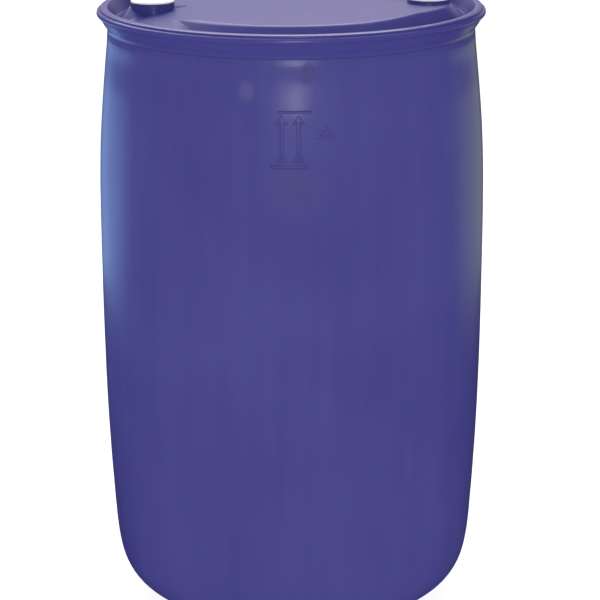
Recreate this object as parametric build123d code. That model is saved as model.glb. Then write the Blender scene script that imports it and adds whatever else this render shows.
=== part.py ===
from build123d import *
import math
import os

os.makedirs("parts", exist_ok=True)

# Tight-head plastic drum, millimetres, +Z up, origin on the floor under the middle of the base.

# Overall
RING_TOP = 928.5          # top face of the handling ring
OVERALL_TOP = 937.0       # top face of the two cap seals
WALL = 3.5                # blow-moulded wall
FAR = 400.0               # beyond the drum in every direction
ABOVE = 1000.0            # above everything

# Outside of the body from the standing rim up to the seam under the handling ring: (radius, height)
FOOT_R = 190.0
FOOT_INNER_R = 176.0
FOOT_BEVEL = (170.0, 1.5)
BASE_RECESS_R = 140.0
BASE_RECESS_Z = 14.0
SEAM_R = 273.4
SEAM_Z = 893.5
BARREL = [
    (FOOT_R, 0.0),
    (213.0, 13.6),
    (234.0, 27.0),
    (252.0, 42.0),
    (265.0, 62.0),
    (273.5, 92.0),
    (279.0, 145.0),
    (286.3, 280.0),
    (290.5, 560.0),
    (287.0, 740.0),
    (277.4, 848.0),
    (274.7, 875.0),
    (SEAM_R, SEAM_Z),
]

# Head: a raised middle with a valley round it
PLATEAU_R = 206.0
PLATEAU_Z = 929.0
VALLEY_R = 227.0
VALLEY_Z = 909.0
HEAD_R = 263.0
HEAD_ROUND = 12.0
HEAD_FOOT_ROUND = 7.0
BULGE_R = 140.0           # the raised middle grows out round each closure; radius at its foot
BULGE_S = 117.5           # middle of that growth, along the closure's direction
BULGE_JOIN_R = 60.0

# The head is lower beside each closure: a gently sloping floor that drains towards the rim.
# Its places are (distance from the axis along the closure's direction, height) and sideways offsets.
WELL_ANGLES = {"fill": 183.0, "vent": 3.0}
WELL_FLOOR_IN = (147.0, 929.0)
WELL_FLOOR_OUT = (262.0, 909.0)
WELL_SLOPE_DEG = 30.0
WELL_BASE_Z = 905.0
WELL_START = 188.0        # inner side of the cut, at WELL_BASE_Z
WELL_SIDE = 50.0          # side of the cut beside the closure, at WELL_BASE_Z
SHELF_Z = 920.0
SHELF_START = 158.0       # inner side of the raised floor, at SHELF_Z
SHELF_SIDE = -40.0        # its side beside the closure, at SHELF_Z
SHELF_DEPTH = 24.0
SHELF_CREST = 8.0
SHELF_ROUND = 30.0

# Handling ring: its underside flares out from the seam to the lip, and its top has a small step
RING_R = 288.5
RING_UNDERSIDE = [(273.4, 893.5), (273.5, 897.6), (276.5, 901.9), (280.7, 908.6), (286.0, 916.0)]
UNDERSIDE_ENDS = [(0, 1), (0.62, 0.78)]
CROWN_IN = (277.3, 928.5)
CROWN_OUT = (282.8, 927.5)
CROWN_ROUND = 15.6
RISER_TOP = (283.8, 926.4)
RISER_ROUND = 1.3
STEP_FOOT = (283.8, 924.7)
RING_IN_TOP_R = 272.0
RING_IN_FOOT_R = 263.0
RING_IN_ROUND = 2.0
RING_IN_FOOT_SLOPE = (2.5, 4.0)
LIP_TOP_Z = 919.5
LIP_ROUND = 3.5
FACE_TOP = (288.2, 921.6)
NOSE_TOP = (286.8, 923.6)
NOSE_ROUND = 2.2

# Closures: coarse 56 mm thread with 4 mm pitch in both necks. Heights are taken from the neck's top.
CLOSURE_R = 205.5
NECK_R = 32.5
NECK_TOP_Z = 933.8
NECK_FOOT_Z = NECK_TOP_Z - 28.0
NECK_SEAT_R = 30.6
NECK_SEAT_Z = NECK_TOP_Z - 6.2
PITCH = 4.0
THREAD_EXT_ROOT = 25.75
THREAD_EXT_CREST = 28.0
THREAD_INT_ROOT = 28.45
THREAD_INT_CREST = 26.2
TOOTH_ROOT_W = 2.2
TOOTH_CREST_W = 0.9
TOOTH_SINK = 0.35
THREAD_START_DEG = 110.0
NECK_THREAD_Z = NECK_TOP_Z - 26.0
NECK_THREAD_TURNS = 4.25
PLUG_THREAD_Z = NECK_THREAD_Z + 1.5 * PITCH
PLUG_THREAD_TURNS = 2.75
PLUG_FLANGE_R = 30.2
PLUG_FLANGE_Z = NECK_TOP_Z - 3.6
PLUG_TOP_Z = NECK_TOP_Z - 0.3
PLUG_FOOT_Z = NECK_TOP_Z - 22.5
PLUG_FLOOR_Z = NECK_TOP_Z - 18.5
PLUG_RECESS_R = 21.8
GASKET_IN_R = 28.6
GASKET_Z = NECK_TOP_Z - 5.9
GASKET_H = 2.0

# Grip bars across the vent plug and thinner ribs round the boss of the fill plug
BAR_W = 6.0
BAR_H = 10.0
BAR_HUB_R = 9.0
RIB_W = 4.0
RIB_H = 8.0

# Three-quarter inch reducer in the middle of the fill plug
RED_PITCH = 1.814
RED_BOSS_R = 17.0
RED_BOSS_Z = NECK_TOP_Z - 7.9
RED_EXT_ROOT = 12.2
RED_EXT_CREST = 13.15
RED_INT_ROOT = 13.55
RED_INT_CREST = 12.6
RED_TOOTH_ROOT_W = 0.85
RED_TOOTH_CREST_W = 0.3
RED_BOSS_THREAD_Z = NECK_TOP_Z - 20.5
RED_BOSS_THREAD_TURNS = 6.0
RED_PLUG_THREAD_Z = RED_BOSS_THREAD_Z + 1.5 * RED_PITCH
RED_PLUG_THREAD_TURNS = 5.0
RED_FOOT_Z = NECK_TOP_Z - 20.5
RED_FLANGE_R = 16.2
RED_FLANGE_Z = NECK_TOP_Z - 5.7
RED_TOP_Z = NECK_TOP_Z - 2.9
RED_SOCKET_R = 7.5
RED_SOCKET_FLOOR = 3.0
RED_GASKET_IN_R = 13.75
RED_GASKET_Z = NECK_TOP_Z - 7.6
RED_GASKET_H = 1.6

# Cap seals
CAP_R = 32.2
CAP_Z = NECK_TOP_Z + 0.4
CAP_ROUND = 1.2
CAP_SKIRT_R = 21.4
CAP_SKIRT_IN_R = 19.8
CAP_SKIRT_Z = NECK_TOP_Z - 5.5
CAP_DISH_R = 25.0
CAP_DISH = 0.8

# Moulded marks on the front of the barrel: sideways places and heights
MARK_PLANE_R = 262.0
MARK_RAISE = 0.9
RULE_RAISE = 1.4
MARK_ARROWS_X = (-13.6, 9.7)
ARROW_Z = (767.0, 816.5)
ARROW_HEAD_W = 17.0
ARROW_HEAD_H = 13.0
ARROW_SHAFT_W = 4.0
ARROW_FOOT_Z = 752.0
ARROW_FOOT_W = 14.0
RULE_LOW = (-4.0, 745.6, 49.0, 3.0)
RULE_HIGH = (5.0, 821.5, 46.0, 2.0)
TRIANGLE = (46.5, 784.5, 27.0, 19.0)
TRIANGLE_LINE = 3.2


def cyl(radius, z_low, z_high):
    return Pos(0, 0, z_low) * Cylinder(radius, z_high - z_low, align=(Align.CENTER, Align.CENTER, Align.MIN))


def tube(r_out, r_in, z_low, z_high):
    return cyl(r_out, z_low, z_high) - cyl(r_in, z_low - 1, z_high + 1)


def inset(points, distance):
    moved = []
    for i, (r, z) in enumerate(points):
        before = points[max(i - 1, 0)]
        after = points[min(i + 1, len(points) - 1)]
        dr = after[0] - before[0]
        dz = after[1] - before[1]
        size = math.hypot(dr, dz)
        moved.append((r - distance * dz / size, z + distance * dr / size))
    return moved


def at_closure(angle):
    return Rot(0, 0, angle) * Pos(CLOSURE_R, 0, 0)


# Body


def revolved_body(barrel, base, corner):
    with BuildSketch(Plane.XZ) as section:
        with BuildLine():
            Polyline(*base)
            Spline(*barrel)
            Polyline(barrel[-1], *corner)
            Polyline(corner[-1], (0, corner[-1][1]), base[0])
        make_face()
    return revolve(section.sketch, axis=Axis.Z)


def slab(low, high, far_z):
    """The space between the sloping floor line and far_z, wide enough for the whole drum."""
    with BuildSketch(Plane.XZ.offset(FAR)) as side:
        Polygon((0, high), (FAR, low), (FAR, far_z), (0, far_z), align=None)
    return extrude(side.sketch, amount=-2 * FAR)


def quarter(start, side, z, height, taper):
    """The corner of space beyond start and side, with sloping edges."""
    with BuildSketch(Plane.XY.offset(z)) as plan:
        Polygon((start, side), (FAR, side), (FAR, FAR), (start, FAR), align=None)
    return extrude(plan.sketch, amount=height, taper=taper)


def well_tools(angle, drop, grow):
    """The space above one well floor and the solid below it, in place."""
    s_in, z_in = WELL_FLOOR_IN
    s_out, z_out = WELL_FLOOR_OUT
    fall = (z_in - z_out) / (s_out - s_in)
    high = z_in - drop + fall * s_in
    low = high - fall * FAR
    edge = 90 - WELL_SLOPE_DEG
    cutter = quarter(WELL_START - grow, WELL_SIDE - grow, WELL_BASE_Z, 40, -edge) & slab(low, high, ABOVE)
    spread = SHELF_DEPTH * math.tan(math.radians(edge)) - grow
    foot_z = SHELF_Z - SHELF_DEPTH - drop
    filler = quarter(SHELF_START - spread, SHELF_SIDE - spread, foot_z, SHELF_DEPTH + SHELF_CREST, edge)
    filler = filler & slab(low, high, SHELF_Z - 2 * SHELF_DEPTH)
    crest = filler.faces().sort_by(Axis.Z)[-1].edges().sort_by(Axis.X)[0]
    filler = fillet(crest, SHELF_ROUND)
    return Rot(0, 0, angle) * cutter, Rot(0, 0, angle) * filler


def with_plateau(solid, z, drop):
    """The raised middle, its edge sloping and its plan growing out towards both closures."""
    height = PLATEAU_Z - VALLEY_Z
    spread = VALLEY_R - PLATEAU_R
    lean = drop * math.tan(math.atan2(height, spread) / 2)
    with BuildSketch(Plane.XY.offset(z)) as plan:
        Circle(VALLEY_R - lean)
        for angle in WELL_ANGLES.values():
            with Locations(Rot(0, 0, angle) * Pos(BULGE_S, 0, 0) * Rot(0, 0, 180)):
                Circle(BULGE_R - lean)
        fillet(plan.vertices(), BULGE_JOIN_R)
    block = extrude(plan.sketch, amount=height, taper=math.degrees(math.atan2(spread, height)))
    block = fillet(block.edges().group_by(Axis.Z)[-1], HEAD_ROUND)
    solid = solid + block
    foot = [edge for edge in solid.edges().filter_by_position(Axis.Z, z - 0.1, z + 0.1) if edge.length < 1400]
    return fillet(foot, HEAD_FOOT_ROUND)


def with_wells(solid, radius, drop, grow, z_low):
    limit = cyl(radius, z_low, ABOVE)
    for angle in WELL_ANGLES.values():
        cutter, filler = well_tools(angle, drop, grow)
        solid = solid - (cutter & limit)
        solid = solid + (filler & limit)
    return solid


def outside_body():
    base = [(0, BASE_RECESS_Z), (BASE_RECESS_R, BASE_RECESS_Z), FOOT_BEVEL, (FOOT_INNER_R, 0), (FOOT_R, 0)]
    corner = [(HEAD_R, SEAM_Z), (HEAD_R, VALLEY_Z)]
    solid = with_plateau(revolved_body(BARREL, base, corner), VALLEY_Z, 0.0)
    return with_wells(solid, HEAD_R, 0.0, 0.0, SEAM_Z + 1)


def cavity():
    barrel = inset(BARREL[1:], WALL)
    barrel[-1] = (SEAM_R - WALL, SEAM_Z - WALL)
    floor_z = BASE_RECESS_Z + WALL
    base = [(0, floor_z), (BASE_RECESS_R + WALL, floor_z), (FOOT_INNER_R, 1.2 * WALL), (FOOT_R, WALL), barrel[0]]
    radius = HEAD_R - WALL
    corner = [(radius, SEAM_Z - WALL), (radius, VALLEY_Z - WALL)]
    solid = with_plateau(revolved_body(barrel, base, corner), VALLEY_Z - WALL, WALL)
    return with_wells(solid, radius, WALL, WALL, SEAM_Z + 1 - WALL)


def drum_shell():
    shell = outside_body() - cavity() + moulded_marks()
    for angle in WELL_ANGLES.values():
        shell = shell - at_closure(angle) * cyl(NECK_R, SEAM_Z, ABOVE)
    return shell.solids().sort_by(SortBy.VOLUME)[-1]


# Moulded marks


def skin(proud):
    """The barrel grown outwards, where the marks are."""
    band = [(r + proud, z) for r, z in BARREL if z > 500]
    with BuildSketch(Plane.XZ) as section:
        with BuildLine():
            Spline(*band)
            Polyline(band[-1], (MARK_PLANE_R, band[-1][1]), (MARK_PLANE_R, band[0][1]), band[0])
        make_face()
    return revolve(section.sketch, axis=Axis.Z)


def arrow(x):
    z_low, z_high = ARROW_Z
    half = ARROW_SHAFT_W / 2
    wing = ARROW_HEAD_W / 2
    neck = z_high - ARROW_HEAD_H
    return Polygon(
        (x - half, z_low),
        (x + half, z_low),
        (x + half, neck + ARROW_SHAFT_W),
        (x + wing, neck),
        (x, z_high),
        (x - wing, neck),
        (x - half, neck + ARROW_SHAFT_W),
        align=None,
    )


def arrow_foot(x):
    wing = ARROW_FOOT_W / 2
    top = ARROW_Z[0]
    return Polygon(
        (x - wing, ARROW_FOOT_Z),
        (x - wing + ARROW_SHAFT_W, ARROW_FOOT_Z),
        (x, top - ARROW_SHAFT_W),
        (x + wing - ARROW_SHAFT_W, ARROW_FOOT_Z),
        (x + wing, ARROW_FOOT_Z),
        (x, top + 1),
        align=None,
    )


def triangle(x, z, width, height):
    return Polygon((x - width / 2, z), (x + width / 2, z), (x, z + height), align=None)


def moulded_marks():
    """Raised this-way-up arrows between two rules, and a small triangle beside them."""
    x, z, width, height = TRIANGLE
    line = TRIANGLE_LINE
    with BuildSketch(Plane.XZ.offset(MARK_PLANE_R)) as signs:
        for place in MARK_ARROWS_X:
            add(arrow(place))
            add(arrow_foot(place))
        add(triangle(x, z, width, height))
        add(triangle(x, z + line, width - 4 * line, height - 3 * line), mode=Mode.SUBTRACT)
    with BuildSketch(Plane.XZ.offset(MARK_PLANE_R)) as rules:
        for x, z, width, height in (RULE_LOW, RULE_HIGH):
            with Locations((x, z)):
                Rectangle(width, height)
    reach = BARREL[8][0] + RULE_RAISE + 5 - MARK_PLANE_R
    marks = extrude(signs.sketch, amount=reach) & skin(MARK_RAISE)
    return marks + (extrude(rules.sketch, amount=reach) & skin(RULE_RAISE))


# Handling ring


def handling_ring():
    step_in, step_up = RING_IN_FOOT_SLOPE
    top_in = (RING_IN_TOP_R + RING_IN_ROUND, RING_TOP)
    inner = (RING_IN_TOP_R, RING_TOP - RING_IN_ROUND)
    with BuildSketch(Plane.XZ) as section:
        with BuildLine():
            Line((RING_IN_FOOT_R, SEAM_Z), RING_UNDERSIDE[0])
            Spline(*RING_UNDERSIDE, tangents=UNDERSIDE_ENDS)
            RadiusArc(RING_UNDERSIDE[-1], (RING_R, LIP_TOP_Z), -LIP_ROUND)
            Line((RING_R, LIP_TOP_Z), FACE_TOP)
            RadiusArc(FACE_TOP, NOSE_TOP, -NOSE_ROUND)
            Polyline(NOSE_TOP, STEP_FOOT, RISER_TOP)
            RadiusArc(RISER_TOP, CROWN_OUT, -RISER_ROUND)
            RadiusArc(CROWN_OUT, CROWN_IN, -CROWN_ROUND)
            Line(CROWN_IN, top_in)
            RadiusArc(top_in, inner, -RING_IN_ROUND)
            Line(inner, (RING_IN_FOOT_R + step_in, VALLEY_Z + step_up))
            Line((RING_IN_FOOT_R + step_in, VALLEY_Z + step_up), (RING_IN_FOOT_R, VALLEY_Z))
            Line((RING_IN_FOOT_R, VALLEY_Z), (RING_IN_FOOT_R, SEAM_Z))
        make_face()
    return revolve(section.sketch, axis=Axis.Z)


# Closures


def thread_ridge(pitch, turns, root, crest, root_w, crest_w, z_low):
    """One helical tooth, its foot sunk a little into the wall it grows from."""
    foot = -TOOTH_SINK if crest > root else TOOTH_SINK
    half_root = root_w / 2 + TOOTH_SINK * (root_w - crest_w) / 2 / abs(crest - root)
    half_crest = crest_w / 2
    path = Helix(pitch=pitch, height=pitch * turns, radius=root)
    with BuildSketch(Plane(origin=path @ 0, x_dir=(1, 0, 0), z_dir=path % 0)) as tooth:
        Polygon(
            (foot, -half_root),
            (crest - root, -half_crest),
            (crest - root, half_crest),
            (foot, half_root),
            align=None,
        )
    ridge = sweep(tooth.sketch, path=path, is_frenet=True)
    return Pos(0, 0, z_low) * Rot(0, 0, THREAD_START_DEG) * ridge


def coarse_thread(turns, root, crest, z_low):
    return thread_ridge(PITCH, turns, root, crest, TOOTH_ROOT_W, TOOTH_CREST_W, z_low)


def fine_thread(turns, root, crest, z_low):
    return thread_ridge(RED_PITCH, turns, root, crest, RED_TOOTH_ROOT_W, RED_TOOTH_CREST_W, z_low)


def neck_insert():
    sleeve = tube(NECK_R, THREAD_INT_ROOT, NECK_FOOT_Z, NECK_TOP_Z)
    sleeve = sleeve - cyl(NECK_SEAT_R, NECK_SEAT_Z, NECK_TOP_Z + 1)
    return sleeve + coarse_thread(NECK_THREAD_TURNS, THREAD_INT_ROOT, THREAD_INT_CREST, NECK_THREAD_Z)


def plug_blank():
    plug = cyl(THREAD_EXT_ROOT, PLUG_FOOT_Z, PLUG_FLANGE_Z + 0.5)
    plug = plug + cyl(PLUG_FLANGE_R, PLUG_FLANGE_Z, PLUG_TOP_Z)
    plug = plug - cyl(PLUG_RECESS_R, PLUG_FLOOR_Z, PLUG_TOP_Z + 1)
    return plug + coarse_thread(PLUG_THREAD_TURNS, THREAD_EXT_ROOT, THREAD_EXT_CREST, PLUG_THREAD_Z)


def cross(width, height):
    """Two crossed bars standing in the plug's recess, let a little into its floor and wall."""
    span = 2 * PLUG_RECESS_R + 1
    middle = Pos(0, 0, PLUG_FLOOR_Z - 0.5 + height / 2)
    return middle * Box(span, width, height) + middle * Box(width, span, height)


def plug_vent():
    hub = cyl(BAR_HUB_R, PLUG_FLOOR_Z - 0.5, PLUG_FLOOR_Z - 0.5 + BAR_H)
    return plug_blank() + cross(BAR_W, BAR_H) + hub


def plug_fill():
    boss = cyl(RED_BOSS_R, PLUG_FOOT_Z + 1, RED_BOSS_Z)
    plug = plug_blank() + boss + cross(RIB_W, RIB_H)
    plug = plug - cyl(RED_INT_ROOT, PLUG_FOOT_Z - 1, RED_BOSS_Z + 1)
    return plug + fine_thread(RED_BOSS_THREAD_TURNS, RED_INT_ROOT, RED_INT_CREST, RED_BOSS_THREAD_Z)


def plug_reducer():
    plug = cyl(RED_EXT_ROOT, RED_FOOT_Z, RED_FLANGE_Z + 0.5)
    plug = plug + cyl(RED_FLANGE_R, RED_FLANGE_Z, RED_TOP_Z)
    with BuildSketch(Plane.XY.offset(RED_FOOT_Z + RED_SOCKET_FLOOR)) as socket:
        RegularPolygon(RED_SOCKET_R, 6)
    plug = plug - extrude(socket.sketch, amount=RED_TOP_Z - RED_FOOT_Z)
    return plug + fine_thread(RED_PLUG_THREAD_TURNS, RED_EXT_ROOT, RED_EXT_CREST, RED_PLUG_THREAD_Z)


def cap_seal():
    disc = cyl(CAP_R, CAP_Z, OVERALL_TOP)
    disc = fillet(disc.edges().group_by(Axis.Z)[-1], CAP_ROUND)
    skirt = tube(CAP_SKIRT_R, CAP_SKIRT_IN_R, CAP_SKIRT_Z, CAP_Z + 0.5)
    return disc + skirt - cyl(CAP_DISH_R, OVERALL_TOP - CAP_DISH, OVERALL_TOP + 1)


def flat_ring(r_out, r_in, z_low, height):
    return tube(r_out, r_in, z_low, z_low + height)


def export(name, solid):
    export_step(solid, os.path.join("parts", name + ".step"))


export("drum_shell", drum_shell())
export("handling_ring", handling_ring())
for end, angle in WELL_ANGLES.items():
    place = at_closure(angle)
    export("neck_insert_" + end, place * neck_insert())
    export("gasket_" + end, place * flat_ring(PLUG_FLANGE_R, GASKET_IN_R, GASKET_Z, GASKET_H))
    export("cap_seal_" + end, place * cap_seal())
export("plug_vent", at_closure(WELL_ANGLES["vent"]) * plug_vent())
fill = at_closure(WELL_ANGLES["fill"])
export("plug_fill", fill * plug_fill())
export("plug_reducer", fill * plug_reducer())
export("gasket_reducer", fill * flat_ring(RED_FLANGE_R, RED_GASKET_IN_R, RED_GASKET_Z, RED_GASKET_H))
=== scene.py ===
"""Looks for the tight-head drum: plastics, stage, light and camera."""

import math

import bpy
from mathutils import Matrix, Vector


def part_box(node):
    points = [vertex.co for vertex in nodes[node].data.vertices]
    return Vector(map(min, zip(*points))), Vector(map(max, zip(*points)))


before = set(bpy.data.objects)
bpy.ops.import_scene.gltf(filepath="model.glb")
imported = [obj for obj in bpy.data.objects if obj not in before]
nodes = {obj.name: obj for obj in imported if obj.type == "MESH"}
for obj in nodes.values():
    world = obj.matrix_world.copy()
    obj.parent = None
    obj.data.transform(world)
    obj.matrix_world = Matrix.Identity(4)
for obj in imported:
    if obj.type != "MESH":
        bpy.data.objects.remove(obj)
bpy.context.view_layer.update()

# Places, from the frame
RING_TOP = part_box("handling_ring")[1][2]
SEAM_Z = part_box("handling_ring")[0][2]
VENT_LOW, VENT_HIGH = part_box("cap_seal_vent")
CLOSURE_AZIMUTH = math.atan2(VENT_LOW[1] + VENT_HIGH[1], VENT_LOW[0] + VENT_HIGH[0])


# Materials


class Shader:
    """A material's node tree, built by short calls."""

    def __init__(self, name):
        self.material = bpy.data.materials.new(name)
        self.material.use_nodes = True
        self.tree = self.material.node_tree
        self.surface = self.tree.nodes["Principled BSDF"]
        self.place = self.add("ShaderNodeTexCoord").outputs["Object"]

    def add(self, kind, **settings):
        node = self.tree.nodes.new(kind)
        for key, value in settings.items():
            setattr(node, key, value)
        return node

    def link(self, source, target):
        self.tree.links.new(source, target)

    def set(self, socket, value):
        self.surface.inputs[socket].default_value = value

    def stretched(self, scale):
        node = self.add("ShaderNodeMapping")
        node.inputs["Scale"].default_value = scale
        self.link(self.place, node.inputs["Vector"])
        return node.outputs["Vector"]

    def noise(self, scale, detail=3.0, rough=0.5, stretch=None):
        node = self.add("ShaderNodeTexNoise")
        node.inputs["Scale"].default_value = scale
        node.inputs["Detail"].default_value = detail
        node.inputs["Roughness"].default_value = rough
        self.link(self.stretched(stretch) if stretch else self.place, node.inputs["Vector"])
        return node.outputs["Fac"]

    def math(self, operation, a, b=None, clamp=False):
        node = self.add("ShaderNodeMath", operation=operation, use_clamp=clamp)
        for socket, value in zip(node.inputs, (a, b)):
            if value is None:
                continue
            if isinstance(value, (int, float)):
                socket.default_value = value
            else:
                self.link(value, socket)
        return node.outputs[0]

    def ramp(self, value, low, high, out_low, out_high, smooth=True):
        node = self.add("ShaderNodeMapRange")
        node.interpolation_type = "SMOOTHSTEP" if smooth else "LINEAR"
        limits = {"From Min": low, "From Max": high, "To Min": out_low, "To Max": out_high}
        for key, number in limits.items():
            node.inputs[key].default_value = number
        self.link(value, node.inputs["Value"])
        return node.outputs["Result"]

    def mix(self, factor, a, b):
        node = self.add("ShaderNodeMix", data_type="RGBA")
        self.link(factor, node.inputs["Factor"])
        for socket, value in ((node.inputs[6], a), (node.inputs[7], b)):
            if isinstance(value, tuple):
                socket.default_value = (*value, 1.0)
            else:
                self.link(value, socket)
        return node.outputs[2]

    def axes(self):
        node = self.add("ShaderNodeSeparateXYZ")
        self.link(self.place, node.inputs["Vector"])
        return node.outputs

    def bevel(self, radius):
        node = self.add("ShaderNodeBevel", samples=6)
        node.inputs["Radius"].default_value = radius
        return node.outputs["Normal"]

    def patch(self, middle, size, soft):
        """1 inside an oval place on the front of the barrel (sideways, height), 0 outside it."""
        x, y, z = self.axes()
        wide = self.math("DIVIDE", self.math("SUBTRACT", x, middle[0]), size[0])
        tall = self.math("DIVIDE", self.math("SUBTRACT", z, middle[1]), size[1])
        far = self.math("ADD", self.math("POWER", wide, 2.0), self.math("POWER", tall, 2.0))
        far = self.math("SQRT", far)
        wobble = self.math("MULTIPLY", self.math("SUBTRACT", self.noise(55.0, 3.0, 0.6), 0.5), 0.6)
        inside = self.ramp(self.math("ADD", far, wobble), 1.0 - soft, 1.0 + soft, 1.0, 0.0)
        return self.math("MULTIPLY", inside, self.math("LESS_THAN", y, 0.0))

    def bump(self, height, distance, strength=1.0, under=None):
        node = self.add("ShaderNodeBump")
        node.inputs["Strength"].default_value = strength
        node.inputs["Distance"].default_value = distance
        self.link(height, node.inputs["Height"])
        if under is not None:
            self.link(under, node.inputs["Normal"])
        return node.outputs["Normal"]


# Blow-moulded polyethylene, dyed right through
DEEP = (0.046, 0.043, 0.222)
PALE = (0.055, 0.052, 0.246)
# Lighter colour of the rub marks, which are real wear, and also of one spot of painted highlight on the
# barrel
SCUFF_AND_GLINT = (0.105, 0.105, 0.300)
# Darker colour for the barrel patches: painted shade at the spot under the seam, and a darker cloud lower
# down
DARKER_PATCH = (0.040, 0.032, 0.195)

# Patches on the front of the barrel: a spot of painted shade where the glint under the seam breaks, a
# darker, rougher cloud lower down, and a spot of painted highlight; place (sideways, height), half sizes,
# softness of the edge
SHADE_SPOT = ((0.023, SEAM_Z - 0.020), (0.012, 0.014), 0.3)
DARK_CLOUD = ((0.006, SEAM_Z - 0.182), (0.036, 0.026), 0.5)
GLINT_SPOT = ((-0.062, SEAM_Z - 0.044), (0.010, 0.012), 0.6)

# Shoulder below the seam: how far down the roll, the hollow and the swell reach
ROLL_END = 0.009
HOLLOW = (0.010, 0.032)
SWELL_END = 0.085
WAVE_HEIGHT = 0.0011
EDGE_ROUND = 0.0022


def barrel_relief(s, normal):
    """The mould's parting line, in the plane of the closures, and the waves of the shoulder."""
    x, y, z = s.axes()
    across = s.math("MULTIPLY", x, -math.sin(CLOSURE_AZIMUTH))
    across = s.math("ADD", across, s.math("MULTIPLY", y, math.cos(CLOSURE_AZIMUTH)))
    parting = s.ramp(s.math("ABSOLUTE", across), 0.0002, 0.0011, 1.0, 0.0)
    normal = s.bump(parting, 0.0005, 0.8, under=normal)
    below = s.math("SUBTRACT", SEAM_Z, z)
    roll = s.ramp(below, 0.0, ROLL_END, 0.0, 0.75, smooth=False)
    hollow = s.ramp(below, *HOLLOW, 0.0, 0.75)
    swell = s.ramp(below, HOLLOW[1], SWELL_END, 0.0, 1.6)
    wave = s.math("ADD", s.math("SUBTRACT", roll, hollow), swell)
    return s.bump(wave, WAVE_HEIGHT, 1.0, under=normal)


def drum_plastic(name, barrel=False, streaks=1.0):
    """Satin dyed plastic: faint flow streaks down the wall, fine orange peel, and light rub marks; on the
    barrel, spots of painted shade and painted highlight below the seam.
    """
    s = Shader(name)
    cloud = s.noise(4.0, 4.0, 0.55)
    flow = s.noise(1.0, 4.0, 0.6, stretch=(38.0, 38.0, 2.2))
    tone = s.math("ADD", s.math("MULTIPLY", cloud, 0.65), s.math("MULTIPLY", flow, 0.35 * streaks))
    colour = s.mix(s.ramp(tone, 0.3, 0.7, 0.0, 1.0), DEEP, PALE)
    rub = s.ramp(s.noise(26.0, 6.0, 0.75, stretch=(1.0, 1.0, 0.35)), 0.66, 0.84, 0.0, 0.35)
    where = s.ramp(s.noise(3.2, 2.0, 0.5), 0.52, 0.72, 0.0, 1.0)
    wear_and_glint = s.math("MULTIPLY", rub, where)
    gloss = s.ramp(tone, 0.3, 0.7, 0.28, 0.34)
    normal = s.bump(s.noise(420.0, 2.0, 0.5), 0.00012, 0.5, under=s.bevel(EDGE_ROUND))
    normal = s.bump(s.noise(14.0, 2.0, 0.5, stretch=(1.0, 1.0, 0.5)), 0.0009, 0.3, under=normal)
    normal = s.bump(flow, 0.0004, 0.15 * streaks, under=normal)
    if barrel:
        # Painted shade: the spot under the seam is darkened in colour where the glint breaks; the cloud
        # lower down is darker too; both are also rougher
        darker_rougher = s.math("MAXIMUM", s.patch(*SHADE_SPOT), s.patch(*DARK_CLOUD))
        colour = s.mix(s.math("MULTIPLY", darker_rougher, 0.55), colour, DARKER_PATCH)
        gloss = s.math("ADD", gloss, s.math("MULTIPLY", darker_rougher, 0.2))
        # Painted highlight: a lighter, rougher spot left of the glints below the seam, carried with the
        # rub marks
        glint = s.math("MULTIPLY", s.patch(*GLINT_SPOT), 0.35)
        wear_and_glint = s.math("MAXIMUM", wear_and_glint, glint)
        normal = barrel_relief(s, normal)
    s.link(s.mix(wear_and_glint, colour, SCUFF_AND_GLINT), s.surface.inputs["Base Color"])
    s.link(s.math("ADD", gloss, s.math("MULTIPLY", wear_and_glint, 0.25)), s.surface.inputs["Roughness"])
    s.link(normal, s.surface.inputs["Normal"])
    s.set("IOR", 1.5)
    return s.material


def white_plastic(name, tint=(0.985, 0.98, 0.985), rough=0.32):
    s = Shader(name)
    shade = s.noise(60.0, 3.0, 0.5)
    warm = tuple(0.96 * c for c in tint)
    s.link(s.mix(s.ramp(shade, 0.35, 0.75, 0.0, 1.0), tint, warm), s.surface.inputs["Base Color"])
    s.link(s.ramp(shade, 0.3, 0.7, rough, rough + 0.1), s.surface.inputs["Roughness"])
    s.link(s.bump(s.noise(700.0, 2.0, 0.5), 0.00008, 0.4), s.surface.inputs["Normal"])
    s.set("Subsurface Weight", 0.08)
    s.set("Subsurface Scale", 0.003)
    return s.material


def rubber(name):
    s = Shader(name)
    grain = s.noise(900.0, 3.0, 0.6)
    s.link(s.mix(grain, (0.012, 0.012, 0.013), (0.03, 0.03, 0.031)), s.surface.inputs["Base Color"])
    s.link(s.ramp(grain, 0.3, 0.7, 0.62, 0.78), s.surface.inputs["Roughness"])
    s.link(s.bump(grain, 0.00006, 0.5), s.surface.inputs["Normal"])
    return s.material


def paint(material, *names):
    for name in names:
        for place in nodes[name].material_slots:
            place.material = material


# Stage, light and camera


def make_floor():
    bpy.ops.mesh.primitive_plane_add(size=14.0, location=(0, 2.0, 0))
    floor = bpy.context.object
    floor.name = "floor"
    material = bpy.data.materials.new("floor_white")
    material.use_nodes = True
    surface = material.node_tree.nodes["Principled BSDF"]
    surface.inputs["Base Color"].default_value = (0.3, 0.3, 0.3, 1)
    surface.inputs["Roughness"].default_value = 0.9
    surface.inputs["Specular IOR Level"].default_value = 0.0
    surface.inputs["Emission Color"].default_value = (1, 1, 1, 1)
    surface.inputs["Emission Strength"].default_value = 0.85
    floor.data.materials.append(material)
    floor.visible_glossy = False


def make_world():
    world = bpy.data.worlds.new("studio")
    bpy.context.scene.world = world
    world.use_nodes = True
    world.cycles_visibility.glossy = False
    back = world.node_tree.nodes["Background"]
    back.inputs["Color"].default_value = (1, 1, 1, 1)
    back.inputs["Strength"].default_value = 1.0


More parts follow.
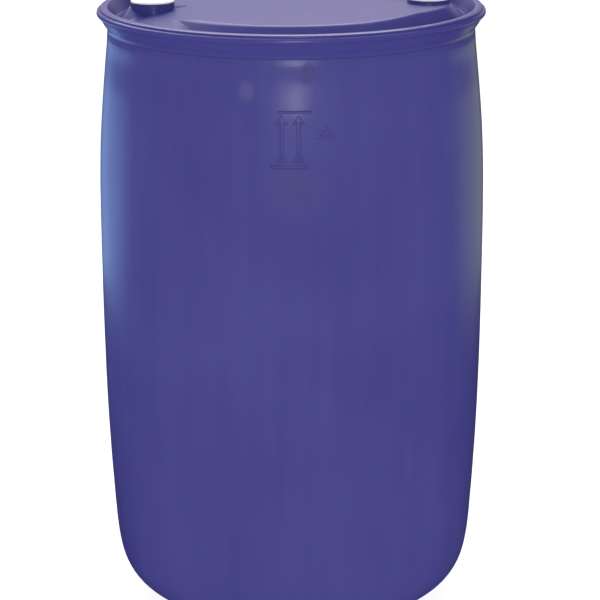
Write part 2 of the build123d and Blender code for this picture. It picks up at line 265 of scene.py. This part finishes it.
def soft_light(name, place, aim, size, radiance, colour=(1, 1, 1)):
    """A rectangular softbox of the given brightness, which the camera does not see."""
    data = bpy.data.lights.new(name, "AREA")
    data.shape = "RECTANGLE"
    data.size, data.size_y = size
    data.energy = radiance * math.pi * size[0] * size[1]
    data.color = colour
    lamp = bpy.data.objects.new(name, data)
    lamp.location = place
    lamp.rotation_euler = (Vector(aim) - Vector(place)).to_track_quat("-Z", "Y").to_euler()
    lamp.visible_camera = False
    bpy.context.collection.objects.link(lamp)


CAMERA_BACK = 3.286
CAMERA_UP = 0.5065
CAMERA_PITCH = math.radians(16.42)
CAMERA_ROLL = math.radians(-0.20)
CAMERA_LENS = 133.1
CAMERA_SHIFT = (0.0130, 0.0031)


def make_camera():
    data = bpy.data.cameras.new("camera")
    data.sensor_width = 36
    data.lens = CAMERA_LENS
    data.shift_x, data.shift_y = CAMERA_SHIFT
    camera = bpy.data.objects.new("camera", data)
    place = Matrix.Translation((0, -CAMERA_BACK, RING_TOP + CAMERA_UP))
    tilt = Matrix.Rotation(math.pi / 2 - CAMERA_PITCH, 4, "X")
    camera.matrix_world = place @ tilt @ Matrix.Rotation(CAMERA_ROLL, 4, "Z")
    bpy.context.collection.objects.link(camera)
    bpy.context.scene.camera = camera


body_plastic = drum_plastic("dyed_plastic_shell", barrel=True)
ring_plastic = drum_plastic("dyed_plastic_ring", streaks=0.3)
white = white_plastic("white_plastic_cap")
paint(body_plastic, "drum_shell")
paint(ring_plastic, "handling_ring", "neck_insert_fill", "neck_insert_vent")
plug_white = white_plastic("white_plastic_plug", (0.8, 0.8, 0.81), 0.38)
paint(plug_white, "plug_fill", "plug_vent", "plug_reducer")
paint(rubber("black_rubber"), "gasket_fill", "gasket_vent", "gasket_reducer")
paint(white, "cap_seal_fill", "cap_seal_vent")

make_floor()
make_world()
HEAD = (0, 0, RING_TOP)
soft_light("back_low", (0, 4.0, 1.55), HEAD, (6.0, 1.3), 0.60, (0.95, 0.82, 1.1))
soft_light("back_high", (-0.6, 2.0, 3.0), HEAD, (3.0, 2.2), 3.0, (1.0, 0.96, 1.05))
soft_light("front", (0.13, -3.3, 1.35), (0, 0, 0.87), (0.42, 0.35), 24.0, (0.95, 0.97, 1.0))
soft_light("left_strip", (-1.55, 1.35, 0.3), (0, 0, 0.45), (1.6, 0.7), 1.5, (0.36, 0.6, 1.0))
soft_light("right_strip", (1.55, 1.35, 0.3), (0, 0, 0.45), (1.6, 0.7), 0.5, (0.85, 1.0, 0.4))
make_camera()

view = bpy.context.scene.view_settings
view.view_transform = "Standard"
view.look = "None"
